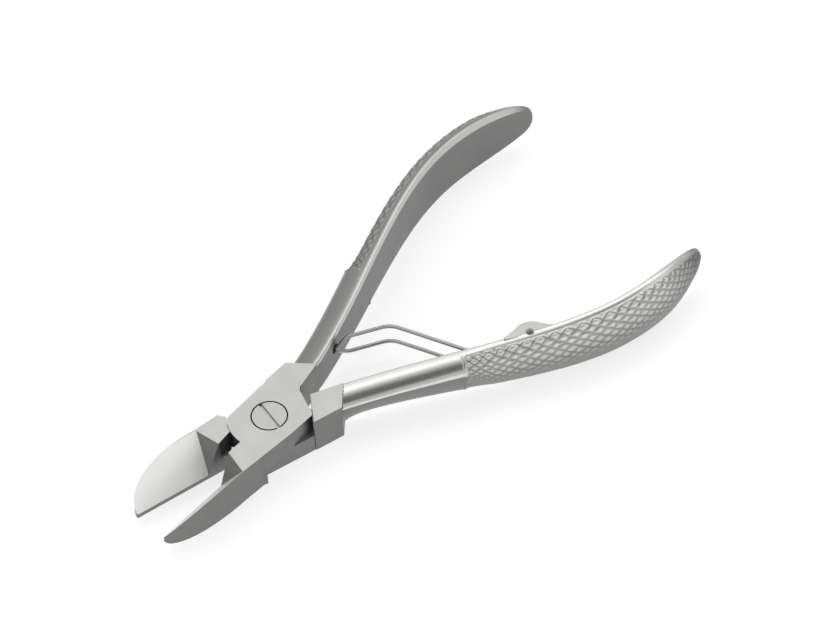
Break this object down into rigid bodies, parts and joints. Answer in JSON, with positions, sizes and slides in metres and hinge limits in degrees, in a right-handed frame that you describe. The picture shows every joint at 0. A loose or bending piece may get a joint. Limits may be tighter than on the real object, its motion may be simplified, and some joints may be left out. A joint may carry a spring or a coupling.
{
  "type": "plier-type nail clipper",
  "caption": "Stainless plier-type nail nipper: lap joint on a slotted screw, bevelled side jaws, bowed knurled handles and a bent wire return spring.",
  "frame": {"origin": "on the pivot axis, at the flat underside of the joint", "axes": "+Z along the pivot axis, out through the screw's slotted head; +X from the jaws to the handles; the open levers lie evenly either side of the XZ plane"},
  "size_m": [0.1374, 0.0702, 0.0152],
  "materials": {
    "satin_steel": "satin forged stainless steel with polished handle flanks",
    "screw_steel": "ground flush with the joint",
    "spring_wire": "bright drawn spring wire"
  },
  "bodies": {
    "lower": {"lower_lever": "satin_steel", "pivot_screw": "screw_steel"},
    "upper": {"upper_lever": "satin_steel"},
    "spring": {"wire_spring": "spring_wire"}
  },
  "joints": [
    {"name": "lever_pivot", "type": "hinge", "parent": "lower", "child": "upper", "pos_m": [0, 0, 0], "axis": [0, 0, 1], "range_deg": [-14.14, 0], "stiffness_Nm_per_rad": 1, "springref_deg": 17.19},
    {"name": "spring_swing", "type": "hinge", "parent": "upper", "child": "spring", "pos_m": [0.02562, 0.00718, 0.0049], "axis": [0, 0, 1], "range_deg": [0, 24.3]}
  ],
  "couplings": [
    {"joint": "spring_swing", "follows": "lever_pivot", "ratio": -1.71}
  ]
}
